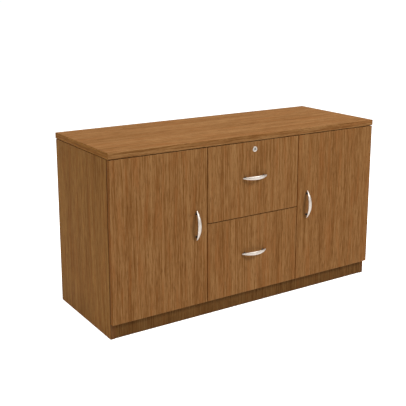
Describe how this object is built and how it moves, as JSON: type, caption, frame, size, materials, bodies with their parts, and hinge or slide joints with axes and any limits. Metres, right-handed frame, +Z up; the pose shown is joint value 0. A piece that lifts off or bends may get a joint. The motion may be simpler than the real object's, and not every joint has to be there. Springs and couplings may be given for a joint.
{
  "type": "office storage cabinet",
  "caption": "Low laminate office cabinet with doors flanking stacked file drawers, bow pulls and a drawer cam lock under a full-width top.",
  "frame": {"origin": "middle of the overall footprint, handles included, on the floor", "axes": "+Z up, +X along the width to the right seen from the front, front faces -Y"},
  "size_m": [1.35, 0.529, 0.75],
  "materials": {
    "top_laminate": "satin wood-grain laminate, grain along the width",
    "top_edge": "matching wood-grain edge band",
    "side_laminate": "satin wood-grain laminate, upright grain",
    "kick_laminate": "satin wood-grain laminate",
    "front_laminate": "satin wood-grain laminate, upright grain",
    "front_edge": "matching wood-grain edge band",
    "satin_nickel": "satin nickel plate on cast zinc",
    "zinc_steel": "bright zinc-plated steel",
    "nickel_hinge": "nickel-plated pressed steel",
    "black_plastic": "moulded black polyamide",
    "clear_rubber": "soft clear bumper",
    "beech_dowel": "fluted beech",
    "drawer_melamine": "pale melamine-faced board"
  },
  "bodies": {
    "carcass": {"back_panel": "side_laminate", "bottom_panel": "side_laminate", "cam_bolts": "zinc_steel", "cam_locks": "zinc_steel", "dowels": "beech_dowel", "front_top_rail": "side_laminate", "hinge_arms": "nickel_hinge", "hinge_plate_screws": "zinc_steel", "hinge_plates": "nickel_hinge", "left_side_panel": "side_laminate", "leveling_brackets": "zinc_steel", "leveling_glides": "black_plastic", "lock_strike": "zinc_steel", "partitions": "side_laminate", "rear_plinth": "side_laminate", "right_side_panel": "side_laminate", "shelf_pins": "zinc_steel", "shelves": "side_laminate", "slide_outer_members": "zinc_steel", "toe_kick": "kick_laminate", "top_edge_band": "top_edge", "top_panel": "top_laminate"},
    "left_door": {"left_door_bumpers": "clear_rubber", "left_door_edge_band": "front_edge", "left_door_handle": "satin_nickel", "left_door_handle_screws": "zinc_steel", "left_door_hinge_cups": "nickel_hinge", "left_door_hinge_pins": "nickel_hinge", "left_door_panel": "front_laminate"},
    "right_door": {"right_door_bumpers": "clear_rubber", "right_door_edge_band": "front_edge", "right_door_handle": "satin_nickel", "right_door_handle_screws": "zinc_steel", "right_door_hinge_cups": "nickel_hinge", "right_door_hinge_pins": "nickel_hinge", "right_door_panel": "front_laminate"},
    "upper_drawer": {"upper_drawer_bottom": "drawer_melamine", "upper_drawer_edge_band": "front_edge", "upper_drawer_ends": "drawer_melamine", "upper_drawer_file_rails": "zinc_steel", "upper_drawer_front": "front_laminate", "upper_drawer_handle": "satin_nickel", "upper_drawer_handle_screws": "zinc_steel", "upper_drawer_sides": "drawer_melamine", "upper_drawer_slide_members": "zinc_steel", "lock_housing": "satin_nickel", "lock_nut": "zinc_steel"},
    "lower_drawer": {"lower_drawer_bottom": "drawer_melamine", "lower_drawer_edge_band": "front_edge", "lower_drawer_ends": "drawer_melamine", "lower_drawer_file_rails": "zinc_steel", "lower_drawer_front": "front_laminate", "lower_drawer_handle": "satin_nickel", "lower_drawer_handle_screws": "zinc_steel", "lower_drawer_sides": "drawer_melamine", "lower_drawer_slide_members": "zinc_steel"},
    "upper_slide_mid": {"upper_slide_mid_members": "zinc_steel"},
    "lower_slide_mid": {"lower_slide_mid_members": "zinc_steel"},
    "lock": {"lock_plug": "satin_nickel", "lock_cam": "zinc_steel"}
  },
  "joints": [
    {"name": "left_door_hinge", "type": "hinge", "parent": "carcass", "child": "left_door", "pos_m": [-0.665, -0.2255, 0.394], "axis": [0, 0, -1], "range_deg": [0, 95]},
    {"name": "right_door_hinge", "type": "hinge", "parent": "carcass", "child": "right_door", "pos_m": [0.665, -0.2255, 0.394], "axis": [0, 0, 1], "range_deg": [0, 95]},
    {"name": "upper_drawer_slide", "type": "slide", "parent": "carcass", "child": "upper_drawer", "axis": [0, -1, 0], "range_m": [0, 0.43]},
    {"name": "upper_mid_slide", "type": "slide", "parent": "carcass", "child": "upper_slide_mid", "axis": [0, -1, 0], "range_m": [0, 0.215]},
    {"name": "lower_drawer_slide", "type": "slide", "parent": "carcass", "child": "lower_drawer", "axis": [0, -1, 0], "range_m": [0, 0.43]},
    {"name": "lower_mid_slide", "type": "slide", "parent": "carcass", "child": "lower_slide_mid", "axis": [0, -1, 0], "range_m": [0, 0.215]},
    {"name": "lock_turn", "type": "hinge", "parent": "upper_drawer", "child": "lock", "pos_m": [0, -0.2355, 0.689], "axis": [0, -1, 0], "range_deg": [0, 90]}
  ],
  "couplings": [
    {"joint": "upper_mid_slide", "follows": "upper_drawer_slide", "ratio": 0.5},
    {"joint": "lower_mid_slide", "follows": "lower_drawer_slide", "ratio": 0.5}
  ]
}
